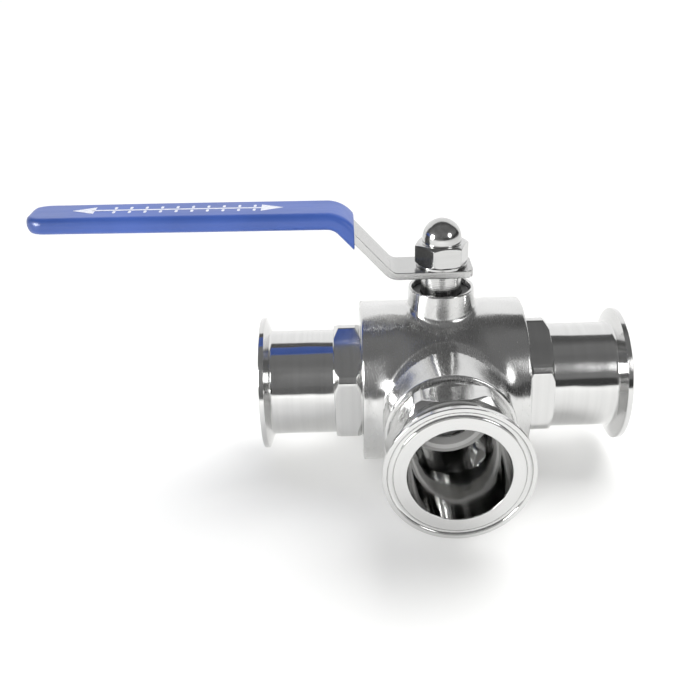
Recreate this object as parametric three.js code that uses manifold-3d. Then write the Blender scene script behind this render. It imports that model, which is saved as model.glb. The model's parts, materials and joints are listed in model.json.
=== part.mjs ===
// Hygienic three way ball valve: a T-ported ball in a barrel body, three clamp end connectors
// and a bent flat bar lever with a dipped grip. Millimetres, +Z up.
// Every piece is drawn about the centre of the ball, where the three port axes meet: X runs
// along the straight run, -Y out of the branch and +Z up the stem. The last lines then set the
// whole valve down on Z = 0, with its box centred on the origin.

import * as THREE from 'three';
import { mergeVertices } from 'three/addons/utils/BufferGeometryUtils.js';
import Module from 'manifold-3d';

const wasm = await Module();
wasm.setup();

// ---------------------------------------------------------------- driving dimensions
const gap = 0.3; // between pieces that touch in the real valve
const clampFace = 86.6; // from the ball's centre to each clamp face
const tubeRadius = 25.4; // 2 inch hygienic tube
const portRadius = 21.9; // bore of the tube, which narrows on its way to the seat
const taperMouth = 85.6;
const taperThroat = 55;
const throatRadius = 19.4;
const ferruleRadius = 32; // 64 mm clamp ferrule

const barrelRadius = 39.05;
const barrelHalf = 38.5;
const neckRadius = 29.6;
const neckFace = 54.7;
const bossRadius = 15.3;
const bossTop = 49.2;

const ballRadius = 32.5;
const ballBore = 17.3;
const seatBore = 17.5;
const seatRadius = 25.5;
const seatBack = 34.5; // where the end connectors hold the seats
const cavityRadius = 33;
const threadRadius = 35.2; // counterbores that take the run connectors
const threadStart = 30;

const collarRadius = 30;
const collarFlats = 53.6;
const collarChamfer = 2.1;
const stepRadius = 27.5; // turned step between a collar and the body

const stemRadius = 9.4;
const stemShoulder = 12;
const stemTop = 56.3;
const threadTop = 75.8;
const threadHalf = 6.8;
const shoulderBase = 31.9;
const ledgeBase = 36.3; // the body's ledge that the stem's shoulder bears up against
const ledgeTop = 39;
const packingRadius = 12.6;
const glandRadius = 13.8;
const glandBase = 43.6;

const barThickness = 3.4;
const barWidth = 21.4;
const barBase = stemTop + gap;
const barEnd = 14; // past the stem's axis
const barTip = -176;
const gripTip = -187.3;
const gripEnd = -40.3;
const gripThickness = 8;
const gripWidth = 24;
const gripEdge = 2.6; // rounding of the grip's long edges

const nutFlats = 22.2;
const nutPhase = 8.5;
const nutBase = 61.6;
const nutTop = 71.1;
const domeRadius = 9;
const domeCentre = 73;

// ---------------------------------------------------------------- materials
const finish = (color, roughness, metalness) =>
  new THREE.MeshStandardMaterial({ color, roughness, metalness });
const polishedSteel = finish(0xc9ccce, 0.12, 1);
const machinedSteel = finish(0xbfc2c4, 0.3, 1);
const barSteel = finish(0xc4c6c6, 0.35, 1);
const whiteSeat = finish(0xf0efe9, 0.5, 0);
const darkRubber = finish(0x1c1c1e, 0.7, 0);
const blueVinyl = finish(0x3f58b8, 0.35, 0);

// ---------------------------------------------------------------- solids and geometry
const degrees = THREE.MathUtils.degToRad;
const wide = 36; // facets round the body and its connectors
const slim = 24; // facets round the stem, its seals and the seats

// A closed geometry as a solid, wound so that its faces point out.
function solid(geometry) {
  const bare = geometry.clone();
  bare.deleteAttribute('normal');
  bare.deleteAttribute('uv');
  const welded = mergeVertices(bare, 1e-4);
  const index = welded.index.array;
  const corner = [new THREE.Vector3(), new THREE.Vector3(), new THREE.Vector3()];
  const triangles = [];
  let volume = 0;
  for (let i = 0; i < index.length; i += 3) {
    const [a, b, c] = index.subarray(i, i + 3);
    if (a === b || b === c || c === a) continue;
    [a, b, c].forEach((vertex, k) => corner[k].fromBufferAttribute(welded.attributes.position, vertex));
    volume += corner[0].dot(corner[1].cross(corner[2]));
    triangles.push([a, b, c]);
  }
  if (volume < 0) triangles.forEach((triangle) => triangle.reverse());
  const mesh = new wasm.Mesh({
    numProp: 3,
    vertProperties: new Float32Array(welded.attributes.position.array),
    triVerts: new Uint32Array(triangles.flat()),
  });
  return new wasm.Manifold(mesh);
}

function geometryOf(shape) {
  const mesh = shape.getMesh();
  const geometry = new THREE.BufferGeometry();
  geometry.setAttribute('position', new THREE.BufferAttribute(mesh.vertProperties, 3));
  geometry.setIndex(new THREE.BufferAttribute(mesh.triVerts, 1));
  geometry.computeVertexNormals();
  return geometry;
}

// A turned piece about +Z. The profile lists [radius, height] and is closed here.
function turned(profile, segments = wide) {
  const points = profile.map(([radius, height]) => new THREE.Vector2(radius, height));
  const onAxis = profile[0][0] === 0 && profile.at(-1)[0] === 0;
  if (!onAxis) points.push(points[0].clone());
  return new THREE.LatheGeometry(points, segments).rotateX(Math.PI / 2);
}

const ring = (inner, outer, from, to, segments) =>
  turned([[inner, from], [outer, from], [outer, to], [inner, to]], segments);

const disc = (radius, from, to, segments) =>
  turned([[0, from], [radius, from], [radius, to], [0, to]], segments);

// Points of an arc in a profile plane, angles in degrees.
function arc(centreX, centreY, radius, from, to, steps) {
  return Array.from({ length: steps + 1 }, (_, i) => {
    const angle = degrees(from + ((to - from) * i) / steps);
    return [centreX + radius * Math.cos(angle), centreY + radius * Math.sin(angle)];
  });
}

// An outline in XY, drawn up from one height to another.
function raised(outline, from, to) {
  const shape = new THREE.Shape(outline.map(([x, y]) => new THREE.Vector2(x, y)));
  const options = { depth: to - from, bevelEnabled: false };
  return new THREE.ExtrudeGeometry(shape, options).translate(0, 0, from);
}

// A hexagon by its size across flats, with one corner at the phase angle.
function hexagon(flats, phase) {
  const corner = flats / Math.sqrt(3);
  return Array.from({ length: 6 }, (_, i) => {
    const angle = degrees(phase + 60 * i);
    return [corner * Math.cos(angle), corner * Math.sin(angle)];
  });
}

function block(x, y, z) {
  const size = [x, y, z].map(([low, high]) => high - low);
  const middle = [x, y, z].map(([low, high]) => (low + high) / 2);
  return new THREE.BoxGeometry(...size).translate(...middle);
}

// Turns that carry a piece drawn about +Z to each port.
const facing = {
  left: [0, -Math.PI / 2, 0],
  right: [0, Math.PI / 2, 0],
  branch: [Math.PI / 2, 0, 0],
  up: [0, 0, 0],
};

function toward(port, geometry) {
  return geometry.clone().applyMatrix4(
    new THREE.Matrix4().makeRotationFromEuler(new THREE.Euler(...facing[port])),
  );
}

const join = (first, ...rest) => rest.reduce((whole, piece) => whole.add(piece), first);
const cut = (first, ...rest) => rest.reduce((whole, piece) => whole.subtract(piece), first);

// ---------------------------------------------------------------- body
function bodyShell() {
  const edge = 1;
  const barrel = turned([
    [0, -barrelHalf],
    [barrelRadius - edge, -barrelHalf],
    [barrelRadius, edge - barrelHalf],
    [barrelRadius, barrelHalf - edge],
    [barrelRadius - edge, barrelHalf],
    [0, barrelHalf],
  ], wide);
  const neckEdge = 1.2;
  const neck = turned([
    [0, 20],
    [neckRadius, 20],
    [neckRadius, neckFace - neckEdge],
    [neckRadius - neckEdge, neckFace],
    [0, neckFace],
  ]);
  const bossFoot = bossRadius + 0.7; // the boss flares a little where it leaves the barrel
  const boss = turned([
    [0, 20],
    [bossFoot, 20],
    [bossFoot, 38],
    [bossRadius, 42],
    [bossRadius, bossTop - 0.5],
    [bossRadius - 0.5, bossTop],
    [0, bossTop],
  ], slim);
  const outside = join(solid(toward('right', barrel)), solid(toward('branch', neck)), solid(boss));

  const past = barrelHalf + 1;
  const aboveBoss = bossTop + 1;
  const run = disc(cavityRadius, -past, past);
  const counterbore = disc(threadRadius, threadStart, past);
  return cut(
    outside,
    solid(toward('right', run)),
    solid(toward('left', counterbore)),
    solid(toward('right', counterbore)),
    solid(toward('branch', disc(seatRadius + gap, 20, neckFace + 1))),
    solid(disc(packingRadius, 20, ledgeBase, slim)),
    solid(disc(stemRadius + gap, 30, aboveBoss, slim)),
    solid(disc(packingRadius, ledgeTop, aboveBoss, slim)),
    solid(disc(glandRadius, glandBase, aboveBoss, slim)),
  );
}

// ---------------------------------------------------------------- end connectors
// A clamp ferrule, a length of tube and a spanner collar. The nose goes into the body.
function endConnector(collarBase, collarTop, collarPhase, nose) {
  const grooveRadius = 1.15;
  const grooveCentre = 28.8;
  const rimEdge = 0.4;
  const rimBack = clampFace - 2.4;
  const coneFoot = rimBack - 2.4; // a 20 degree clamp cone
  const groove = arc(grooveCentre, clampFace, grooveRadius, 180, 360, 4);
  const root = arc(tubeRadius + 2, coneFoot - 2, 2, 90, 180, 2);
  const main = turned([
    [portRadius, clampFace],
    ...groove,
    [ferruleRadius - rimEdge, clampFace],
    [ferruleRadius, clampFace - rimEdge],
    [ferruleRadius, rimBack],
    ...root,
    [tubeRadius, collarBase + collarChamfer],
    [stepRadius, collarBase],
    ...nose,
    [throatRadius, seatBack + gap],
    [throatRadius, taperThroat],
    [portRadius, taperMouth],
  ]);
  const inside = tubeRadius - 2;
  const chamferRadius = collarRadius - collarChamfer;
  const collar = turned([
    [inside, collarBase],
    [chamferRadius, collarBase],
    [collarRadius, collarBase + collarChamfer],
    [collarRadius, collarTop - collarChamfer],
    [chamferRadius, collarTop],
    [inside, collarTop],
  ]);
  const flats = raised(hexagon(collarFlats, collarPhase), collarBase - 1, collarTop + 1);
  return join(solid(main), solid(collar).intersect(solid(flats)));
}

// The run connectors screw into the barrel's counterbores and pocket their seats.
function runConnector(collarPhase) {
  const discRadius = threadRadius - gap;
  const discBack = threadStart + 1.5;
  const noseRadius = cavityRadius - gap;
  const noseTip = threadStart - 0.2;
  return endConnector(barrelHalf + 0.5, barrelHalf + 12.8, collarPhase, [
    [stepRadius, barrelHalf],
    [discRadius - 0.5, barrelHalf],
    [discRadius, barrelHalf - 0.5],
    [discRadius, discBack],
    [noseRadius, discBack],
    [noseRadius, noseTip],
    [seatRadius + gap, noseTip],
    [seatRadius + gap, seatBack + gap],
  ]);
}

const ringGroove = { base: 50.1, top: 52.3, radius: 24.1 };

// The branch connector screws into the neck, with a sealing ring in a groove round its nose.
function branchConnector(collarPhase) {
  const shoulder = neckFace + gap;
  return endConnector(neckFace + 3.2, neckFace + 16.1, collarPhase, [
    [stepRadius, shoulder],
    [seatRadius, shoulder],
    [seatRadius, ringGroove.top],
    [ringGroove.radius, ringGroove.top],
    [ringGroove.radius, ringGroove.base],
    [seatRadius, ringGroove.base],
    [seatRadius, seatBack + gap],
  ]);
}

// ---------------------------------------------------------------- seats and seals
// A seat ring: a lip that follows the ball, a sloping back edge that clears the next seat, and
// a flat back.
function seatRing() {
  const lipRadius = ballRadius + gap;
  const onBall = (radius) => [radius, Math.sqrt(lipRadius ** 2 - radius ** 2)];
  const lip = [seatBore, 19.1, 20.7, 22.3].map(onBall);
  return turned([...lip, [seatRadius, 27.6], [seatRadius, seatBack], [seatBore, seatBack]], slim);
}

// ---------------------------------------------------------------- ball and stem
const slot = { halfWidth: 4.5, halfLength: 10.4, floor: 26.3 };

function ball() {
  const crown = ballRadius - 0.9; // the ball is flat under the stem's shoulder
  const bore = disc(ballBore, -ballRadius - 1, ballRadius + 1, slim);
  const leg = disc(ballBore, 0, ballRadius + 1, slim);
  return cut(
    solid(turned([[0, -ballRadius], ...arc(0, 0, ballRadius, -78, 78, 13), [0, ballRadius]], wide)),
    solid(toward('branch', bore)),
    solid(toward('left', leg)),
    solid(block([-ballRadius, ballRadius], [-ballRadius, ballRadius], [crown, ballRadius + 1])),
    solid(block(
      [-slot.halfWidth, slot.halfWidth],
      [-slot.halfLength, slot.halfLength],
      [slot.floor, ballRadius + 1],
    )),
  );
}

const stemGroove = { base: 36.8, top: 38.6, radius: 8.3 };
const drive = { radius: 7.8, half: 5.4 }; // the double-D that turns with the lever

function stem() {
  const shank = turned([
    [0, shoulderBase],
    [stemShoulder, shoulderBase],
    [stemShoulder, shoulderBase + 2.7],
    [stemRadius, shoulderBase + 2.7],
    [stemRadius, stemGroove.base],
    [stemGroove.radius, stemGroove.base],
    [stemGroove.radius, stemGroove.top],
    [stemRadius, stemGroove.top],
    [stemRadius, stemTop - 0.4],
    [stemRadius - 0.4, stemTop],
    [drive.radius, stemTop],
    [drive.radius, barBase + barThickness],
    [threadHalf, barBase + barThickness],
    [threadHalf, threadTop - 0.8],
    [threadHalf - 0.8, threadTop],
    [0, threadTop],
  ], slim);
  const tang = block(
    [gap - slot.halfWidth, slot.halfWidth - gap],
    [2 * gap - slot.halfLength, slot.halfLength - 2 * gap],
    [slot.floor + gap, shoulderBase + 1],
  );
  const flat = (side) => {
    const edges = [side * drive.half, side * stemRadius].sort((a, b) => a - b);
    return solid(block([-stemRadius, stemRadius], edges, [stemTop, barBase + barThickness]));
  };
  return cut(join(solid(shank), solid(tang)), flat(-1), flat(1));
}

// ---------------------------------------------------------------- lever
// A path in XZ through corners [x, z, bend radius], with an arc at each bend.
function bentPath(corners) {
  const at = ([x, z]) => new THREE.Vector2(x, z);
  const path = [at(corners[0])];
  for (let i = 1; i < corners.length - 1; i++) {
    const here = at(corners[i]);
    const back = at(corners[i - 1]).sub(here).normalize();
    const ahead = at(corners[i + 1]).sub(here).normalize();
    const half = Math.acos(back.dot(ahead)) / 2;
    const reach = corners[i][2] / Math.tan(half);
    const start = here.clone().addScaledVector(back, reach);
    const end = here.clone().addScaledVector(ahead, reach);
    const centre = here.clone().add(
      back.clone().add(ahead).normalize().multiplyScalar(corners[i][2] / Math.sin(half)),
    );
    const from = start.clone().sub(centre);
    const turn = Math.sign(from.cross(end.clone().sub(centre))) * (Math.PI - 2 * half);
    const steps = 7;
    for (let k = 0; k <= steps; k++) {
      path.push(from.clone().rotateAround(new THREE.Vector2(), (turn * k) / steps).add(centre));
    }
  }
  path.push(at(corners.at(-1)));
  return path;
}

// The side view of a bar of even thickness that follows a path.
function barOutline(path, thickness) {
  const side = (sign) => path.map((point, i) => {
    const before = path[Math.max(i - 1, 0)];
    const after = path[Math.min(i + 1, path.length - 1)];
    const along = after.clone().sub(before).normalize();
    const shift = (sign * thickness) / 2;
    return new THREE.Vector2(point.x - along.y * shift, point.y + along.x * shift);
  });
  return [...side(1), ...side(-1).reverse()];
}

// A side view in XZ, drawn across the width and centred on Y = 0. The rounding eats into the
// outline, so the piece keeps its size.
function across(outline, width, rounding = 0) {
  const geometry = new THREE.ExtrudeGeometry(new THREE.Shape(outline), {
    depth: width - 2 * rounding,
    bevelEnabled: rounding > 0,
    bevelThickness: rounding,
    bevelSize: rounding,
    bevelOffset: -rounding,
    bevelSegments: 3,
  });
  return geometry.rotateX(Math.PI / 2).translate(0, width / 2 - rounding, 0);
}

const barMiddle = barBase + barThickness / 2;
const gripMiddle = 85.2; // the grip's centre line above the ball's centre, at the upper bend
const gripRise = Math.tan(degrees(0.67));
const lowerBend = [-23.4, barMiddle, 7];
const upperBend = [-47.8, gripMiddle, 11];
const gripHeight = (x) => gripMiddle + (upperBend[0] - x) * gripRise;

// A plan outline from one end to the other, with rounded corners at both ends.
function planOutline(low, high, width, lowRound, highRound) {
  const half = width / 2;
  return [
    ...arc(high - highRound, half - highRound, highRound, 90, 0, 5),
    ...arc(high - highRound, highRound - half, highRound, 0, -90, 5),
    ...arc(low + lowRound, lowRound - half, lowRound, 270, 180, 5),
    ...arc(low + lowRound, half - lowRound, lowRound, 180, 90, 5),
  ];
}

function leverBar() {
  const path = bentPath([[barEnd, barMiddle], lowerBend, upperBend, [barTip, gripHeight(barTip)]]);
  const bar = solid(across(barOutline(path, barThickness), barWidth));
  const plan = solid(raised(planOutline(barTip, barEnd, barWidth, 5, 4.5), 50, 95));
  const clear = 0.3;
  const hole = solid(disc(drive.radius + clear, 50, 65, slim)).intersect(
    solid(block([-20, 20], [-drive.half - clear, drive.half + clear], [50, 65])),
  );
  return cut(bar.intersect(plan), hole);
}

function leverGrip() {
  const inTheBend = [lowerBend[0], lowerBend[1]];
  const path = bentPath([inTheBend, upperBend, [gripTip, gripHeight(gripTip)]]);
  const outside = solid(across(barOutline(path, gripThickness), gripWidth, gripEdge));
  const plan = solid(raised(planOutline(gripTip, gripEnd, gripWidth, 10, 0.5), 50, 100));
  const pocketPath = bentPath([inTheBend, upperBend, [barTip - 1, gripHeight(barTip - 1)]]);
  const clear = 0.5;
  const pocket = across(barOutline(pocketPath, barThickness + clear), barWidth + clear);
  return cut(outside.intersect(plan), solid(pocket));
}

// ---------------------------------------------------------------- fasteners
function domeNut() {
  const corner = nutFlats / Math.sqrt(3);
  const dome = arc(0, domeCentre, domeRadius, 0, 75, 5);
  const shape = turned([
    [0, nutBase],
    [corner - 1, nutBase],
    [corner + 0.1, nutBase + 0.6],
    [corner + 0.1, nutTop - 0.9],
    [corner - 1.6, nutTop],
    [domeRadius, nutTop],
    ...dome,
    [0, domeCentre + domeRadius],
  ], slim);
  const flats = solid(raised(hexagon(nutFlats, nutPhase), nutBase - 1, domeCentre + domeRadius + 1));
  const thread = turned([
    [0, nutBase - 1],
    [threadHalf + gap, nutBase - 1],
    [threadHalf + gap, threadTop + 0.2],
    [0, threadTop + 2.4],
  ], slim);
  return cut(solid(shape).intersect(flats), solid(thread));
}

function lockWasher() {
  const base = barBase + barThickness + 0.1;
  const flat = solid(ring(threadHalf + 0.6, 11.9, base, nutBase - 0.2, slim));
  const split = block([6, 13], [-0.7, 0.7], [base - 1, nutBase + 1]).rotateZ(degrees(65));
  return cut(flat, solid(split));
}

function glandNut() {
  const base = glandBase + 0.7;
  const top = base + 2;
  const body = solid(ring(stemRadius + 0.5, glandRadius - gap, base, top, slim));
  const slotDepth = 1;
  const spannerSlot = block([-1.6, 1.6], [-15, 15], [top - slotDepth, top + 1]);
  return cut(body, solid(spannerSlot));
}

// ---------------------------------------------------------------- assembly
const valve = new THREE.Group();

function add(name, geometry, material, port = 'up') {
  const mesh = new THREE.Mesh(geometry, material);
  mesh.name = name;
  mesh.rotation.set(...facing[port]);
  valve.add(mesh);
}

add('valve_body', geometryOf(bodyShell()), polishedSteel);
add('left_end_connector', geometryOf(runConnector(-2.7)), polishedSteel, 'left');
add('right_end_connector', geometryOf(runConnector(-2)), polishedSteel, 'right');
add('branch_end_connector', geometryOf(branchConnector(2.6)), polishedSteel, 'branch');

for (const port of ['left', 'right', 'branch']) {
  add(`${port}_seat_ring`, geometryOf(solid(seatRing())), whiteSeat, port);
}

const gasketInner = cavityRadius - 0.1;
const gasketOuter = threadRadius - 0.2;
for (const port of ['left', 'right']) {
  const gasket = ring(gasketInner, gasketOuter, threadStart + 0.2, threadStart + 1.3, wide);
  add(`${port}_body_seal`, geometryOf(solid(gasket)), darkRubber, port);
}
const branchSeal = ring(
  ringGroove.radius + 0.1, seatRadius + 0.2, ringGroove.base + 0.2, ringGroove.top - 0.2,
);
add('branch_body_seal', geometryOf(solid(branchSeal)), darkRubber, 'branch');

const washerBase = shoulderBase + 3;
const thrustWasher = ring(stemRadius + gap, packingRadius - 0.2, washerBase, ledgeBase - gap, slim);
add('thrust_washer', geometryOf(solid(thrustWasher)), whiteSeat);

const packingHeight = 1.15;
const packingPitch = 1.35;
['lower', 'middle', 'upper'].forEach((place, i) => {
  const base = ledgeTop + 0.15 + i * packingPitch;
  const packing = ring(stemRadius + gap, packingRadius - 0.2, base, base + packingHeight, slim);
  add(`${place}_packing_ring`, geometryOf(solid(packing)), whiteSeat);
});
const followerBase = ledgeTop + 0.15 + 3 * packingPitch;
const follower = ring(stemRadius + 0.4, packingRadius - 0.2, followerBase, followerBase + 0.95, slim);
add('gland_ring', geometryOf(solid(follower)), machinedSteel);
add('gland_nut', geometryOf(glandNut()), machinedSteel);

add('ball', geometryOf(ball()), polishedSteel);
add('stem', geometryOf(stem()), machinedSteel);
const stemSeal = ring(stemGroove.radius + 0.1, stemRadius + 0.15, stemGroove.base + 0.2,
  stemGroove.top - 0.2, slim);
add('stem_seal_ring', geometryOf(solid(stemSeal)), darkRubber);
add('lever_plate', geometryOf(leverBar()), barSteel);
add('lever_sleeve', geometryOf(leverGrip()), blueVinyl);
add('lock_washer', geometryOf(lockWasher()), machinedSteel);
add('dome_nut', geometryOf(domeNut()), polishedSteel);

// The valve stands on Z = 0 with its box centred over the origin.
valve.position.set(-(gripTip + clampFace) / 2, (clampFace - barrelRadius) / 2, barrelRadius);

const part = new THREE.Group();
part.add(valve);

export default part;
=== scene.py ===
"""Looks of the hygienic three way ball valve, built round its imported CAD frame.

Lengths are given in millimetres from the centre of the ball, where the three port axes meet:
X along the straight run, -Y out of the branch and Z up the stem. `placed` turns them into
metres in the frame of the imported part.
"""
import json
import math

import bmesh
import bpy
import numpy as np
from mathutils import Matrix


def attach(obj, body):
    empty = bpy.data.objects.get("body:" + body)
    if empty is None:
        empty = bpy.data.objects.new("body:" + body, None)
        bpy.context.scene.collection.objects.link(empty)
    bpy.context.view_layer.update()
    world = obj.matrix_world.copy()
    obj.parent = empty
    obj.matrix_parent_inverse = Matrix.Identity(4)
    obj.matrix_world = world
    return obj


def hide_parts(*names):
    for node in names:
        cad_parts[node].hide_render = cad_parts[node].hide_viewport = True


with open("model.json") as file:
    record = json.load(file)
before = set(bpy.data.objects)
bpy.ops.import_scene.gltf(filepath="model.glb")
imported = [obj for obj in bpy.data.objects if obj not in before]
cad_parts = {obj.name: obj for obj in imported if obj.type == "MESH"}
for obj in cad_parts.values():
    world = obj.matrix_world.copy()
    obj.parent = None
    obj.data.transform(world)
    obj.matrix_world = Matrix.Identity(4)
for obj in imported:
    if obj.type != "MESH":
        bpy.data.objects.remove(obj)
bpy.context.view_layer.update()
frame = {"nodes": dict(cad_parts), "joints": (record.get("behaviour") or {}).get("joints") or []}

BALL_CENTRE = np.array(frame["joints"][0]["pos_m"])
MM = 0.001

# ------------------------------------------------------------------ sizes
CLAMP_FACE = 86.6
TUBE = 25.4
BORE = 21.9
THROAT = 19.4
TAPER = (55.0, 85.6)  # where the bore's cone starts and ends
FERRULE = 32.0
BARREL = 39.05
BARREL_HALF = 38.5
NECK = 29.6
NECK_FACE = 54.7
BOSS = 15.3
BOSS_TOP = 49.2
RAMP_LOW = 1.2  # how far the forging climbs the neck's sides
RAMP_RISE = 3.2  # and how much further it climbs above and below the neck
RAMP_WIDTH = 7.0
SHOULDER_ROOM = (28.0, 8.3)  # middle and half height of the room for the stem's shoulder
PACKING = 12.6  # radius of the packing's room and of the shoulder's
PACKING_FLOOR = 39.0
RECESS = 13.8
RECESS_FLOOR = 43.6
BALL = 32.5
BALL_BORE = 17.3
SEAT_BORE = 17.5
SEAT = 25.5
SEAT_BACK = 34.5
CAVITY = 33.0
THREAD = 35.2
THREAD_START = 30.0
COLLAR = 30.0
COLLAR_FLATS = 53.6
COLLAR_CHAMFER = 2.1
STEP = 27.5
GAP = 0.3
STEM = 9.4
STEM_FLAT = 5.4  # from the axis to each flat of the double D
STEM_TOP = 56.3
THREAD_TOP = 75.8
THREAD_HALF = 6.8
BAR_THICK = 3.4
BAR_WIDTH = 21.4
BAR_BASE = STEM_TOP + GAP
BAR_MIDDLE = BAR_BASE + BAR_THICK / 2
BAR_END = 14.0
BAR_TIP = -176.0
GRIP_TIP = -187.3
GRIP_END = -40.3
GRIP_THICK = 8.0
GRIP_WIDTH = 24.0
NUT_FLATS = 22.2
NUT_CORNER = 8.5
NUT_BASE = 61.6
NUT_TOP = 71.1
DOME = 9.0
DOME_CENTRE = 73.0
FINE = 288  # steps round the large turned pieces
SMALL = 144  # steps round the small ones
BODY_PITCH = 0.76  # grid spacing of the body's skin
BALL_PITCH = 0.9  # and of the ball's

# Each port's own axes as columns: a piece is drawn about +Z and turned to its port.
PORTS = {
    "left": np.array([[0, 0, -1], [0, 1, 0], [1, 0, 0]], float),
    "right": np.array([[0, 0, 1], [0, 1, 0], [-1, 0, 0]], float),
    "branch": np.array([[1, 0, 0], [0, 0, -1], [0, 1, 0]], float),
    "up": np.eye(3),
}


def placed(points):
    return np.asarray(points, float) * MM + BALL_CENTRE


# ------------------------------------------------------------------ meshes
def corner_normals(points, faces, crease=32.0):
    """A normal for each corner of each face: the faces round a point are averaged by area, so that
    flats stay flat, and only those within the crease angle of this one are counted."""
    counts = np.array([len(f) for f in faces])
    flat = np.concatenate([np.asarray(f, int) for f in faces])
    owner = np.repeat(np.arange(len(faces)), counts)
    first = np.repeat(np.r_[0, np.cumsum(counts)[:-1]], counts)
    place = np.arange(len(flat)) - first
    following = flat[first + (place + 1) % counts[owner]]
    area = np.zeros((len(faces), 3))
    start = points[flat[first]]
    np.add.at(area, owner, np.cross(points[flat] - start, points[following] - start))
    unit = area / np.maximum(np.linalg.norm(area, axis=1, keepdims=True), 1e-12)
    order = np.argsort(flat, kind="stable")
    point = flat[order]
    starts = np.r_[0, np.flatnonzero(np.diff(point)) + 1]
    sizes = np.diff(np.r_[starts, len(point)])
    result = np.zeros((len(flat), 3))
    for size in np.unique(sizes):
        rows = order[starts[sizes == size][:, None] + np.arange(size)]
        a, u = area[owner[rows]], unit[owner[rows]]
        near = np.einsum("mik,mjk->mij", u, u) > math.cos(math.radians(crease))
        result[rows] = np.einsum("mij,mjk->mik", near.astype(float), a)
    return result / np.maximum(np.linalg.norm(result, axis=1, keepdims=True), 1e-12)


def piece(name, points, faces, body, material, stands_for, slot, normals=None, **marks):
    """A mesh object that rides on a body. marks are vectors kept with each point."""
    points = np.asarray(points, float)
    faces = [list(map(int, f)) for f in faces]
    mesh = bpy.data.meshes.new(name)
    mesh.from_pydata(placed(points).tolist(), [], faces)
    mesh.polygons.foreach_set("use_smooth", np.ones(len(mesh.polygons), bool))
    for mark, values in marks.items():
        layer = mesh.attributes.new(mark, "FLOAT_VECTOR", "POINT")
        layer.data.foreach_set("vector", np.asarray(values, np.float32).ravel())
    mesh.update()
    if normals is None:
        mesh.normals_split_custom_set(corner_normals(points, faces).tolist())
    else:
        mesh.normals_split_custom_set_from_vertices(np.asarray(normals, float).tolist())
    mesh.materials.append(material)
    made = bpy.data.objects.new(name, mesh)
    bpy.context.scene.collection.objects.link(made)
    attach(made, body)
    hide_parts(*stands_for)


def rounded(corners, steps=4):
    """A profile through corners (x, y) or (x, y, fillet), with an arc at each filleted one."""
    out = []
    for i, corner in enumerate(corners):
        here = np.array(corner[:2], float)
        if len(corner) < 3 or i in (0, len(corners) - 1):
            out.append(tuple(here))
            continue
        back = np.array(corners[i - 1][:2], float) - here
        ahead = np.array(corners[i + 1][:2], float) - here
        back /= np.linalg.norm(back)
        ahead /= np.linalg.norm(ahead)
        half = math.acos(np.clip(back @ ahead, -1, 1)) / 2
        reach = corner[2] / math.tan(half)
        middle = back + ahead
        centre = here + middle / np.linalg.norm(middle) * corner[2] / math.sin(half)
        start = here + back * reach - centre
        end = here + ahead * reach - centre
        turn = math.atan2(start[0] * end[1] - start[1] * end[0], start @ end)
        for k in range(steps + 1):
            c, s = math.cos(turn * k / steps), math.sin(turn * k / steps)
            out.append(tuple(centre + (c * start[0] - s * start[1], s * start[0] + c * start[1])))
    return out


def soft_min(a, b, k):
    h = np.maximum(k - np.abs(a - b), 0) / k
    return np.minimum(a, b) - h * h * k / 4


def hexagon(flats, corner_at):
    """The distance from the axis to a hexagon's flats, as a function of the angle."""
    def limit(angle):
        off = np.mod(angle - math.radians(corner_at), math.pi / 3) - math.pi / 6
        return flats / 2 / np.cos(off)
    return limit


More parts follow.
